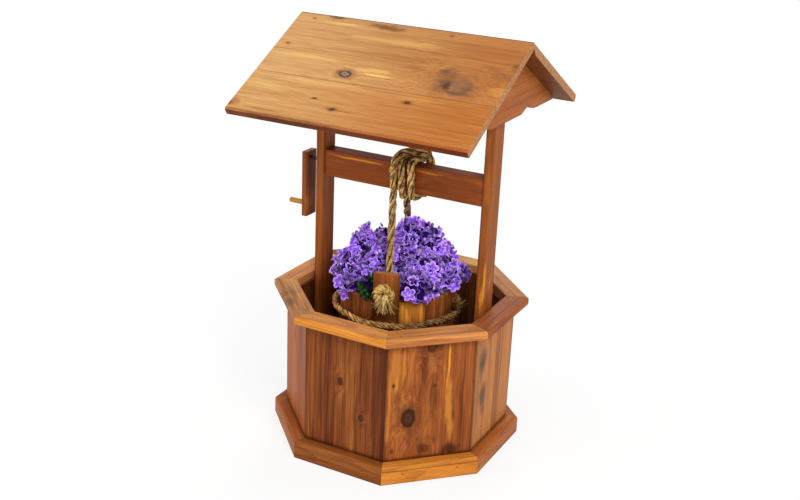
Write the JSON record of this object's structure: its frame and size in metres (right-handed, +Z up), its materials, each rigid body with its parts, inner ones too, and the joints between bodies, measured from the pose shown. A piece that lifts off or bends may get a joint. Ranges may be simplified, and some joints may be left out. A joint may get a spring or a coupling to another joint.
{
  "type": "wishing well planter",
  "caption": "Octagonal cedar wishing well planter: walls with rim and base trim, posts with a crossbeam, gable roof and crank, and a stave bucket of bellflowers on a knotted rope.",
  "frame": {"origin": "on the ground, at the vertical axis of the octagonal well, on the underside of the middle floor board", "axes": "+Z up; +X along the ridge, away from the crank; -Y towards the front, where the rope comes down"},
  "size_m": [0.5293, 0.5288, 0.8647],
  "materials": {
    "cedar_panel": "oiled cedar, satin, reddish brown with knots",
    "cedar_rim": "oiled cedar, satin, one board in bright sapwood",
    "cedar_trim": "oiled cedar, satin, one board in bright sapwood",
    "cedar_post": "oiled cedar, satin",
    "cedar_roof": "oiled cedar, satin, golden brown with dark knots",
    "cedar_gable": "oiled cedar, satin",
    "cedar_crank": "oiled cedar, satin",
    "cedar_stave": "oiled cedar, satin, some staves in bright sapwood",
    "dowel": "pale bare wood",
    "steel": "dull dark steel",
    "rope": "laid natural-fibre rope, matte",
    "soil": "dark potting soil, matte",
    "flowers": "violet bellflowers over dark green leaves, matte"
  },
  "bodies": {
    "root": {"wall_panel_1": "cedar_panel", "wall_panel_2": "cedar_panel", "wall_panel_3": "cedar_panel", "wall_panel_4": "cedar_panel", "wall_panel_5": "cedar_panel", "wall_panel_6": "cedar_panel", "wall_panel_7": "cedar_panel", "wall_panel_8": "cedar_panel", "rim_board_1": "cedar_rim", "rim_board_2": "cedar_rim", "rim_board_3": "cedar_rim", "rim_board_4": "cedar_rim", "rim_board_5": "cedar_rim", "rim_board_6": "cedar_rim", "rim_board_7": "cedar_rim", "rim_board_8": "cedar_rim", "base_trim_1": "cedar_trim", "base_trim_2": "cedar_trim", "base_trim_3": "cedar_trim", "base_trim_4": "cedar_trim", "base_trim_5": "cedar_trim", "base_trim_6": "cedar_trim", "base_trim_7": "cedar_trim", "base_trim_8": "cedar_trim", "floor_board_1": "cedar_panel", "floor_board_2": "cedar_panel", "floor_board_3": "cedar_panel", "post_left": "cedar_post", "post_right": "cedar_post", "crossbeam": "cedar_post", "roof_front_upper": "cedar_roof", "roof_front_lower": "cedar_roof", "roof_back_upper": "cedar_roof", "roof_back_lower": "cedar_roof", "gable_left": "cedar_gable", "gable_right": "cedar_gable", "rope_winding": "rope"},
    "crank": {"crank_arm": "cedar_crank", "crank_axle": "steel", "crank_handle": "dowel"},
    "bucket": {"bucket_stave_1": "cedar_stave", "bucket_stave_2": "cedar_stave", "bucket_stave_3": "cedar_stave", "bucket_stave_4": "cedar_stave", "bucket_stave_5": "cedar_stave", "bucket_stave_6": "cedar_stave", "bucket_stave_7": "cedar_stave", "bucket_stave_8": "cedar_stave", "bucket_stave_9": "cedar_stave", "bucket_stave_10": "cedar_stave", "bucket_stave_11": "cedar_stave", "bucket_stave_12": "cedar_stave", "bucket_ear_front": "cedar_stave", "bucket_ear_back": "cedar_stave", "bucket_bottom": "cedar_stave", "soil": "soil", "bucket_hoop": "rope", "rope_front": "rope", "rope_back": "rope", "bellflowers": "flowers"}
  },
  "joints": [
    {"name": "crank_turn", "type": "hinge", "parent": "root", "child": "crank", "pos_m": [-0.2, 0, 0.564], "axis": [1, 0, 0], "continuous": true},
    {"name": "bucket_sway", "type": "hinge", "parent": "root", "child": "bucket", "pos_m": [-0.0105, 0, 0.529], "axis": [0, 1, 0], "range_deg": [-5, 5]}
  ]
}
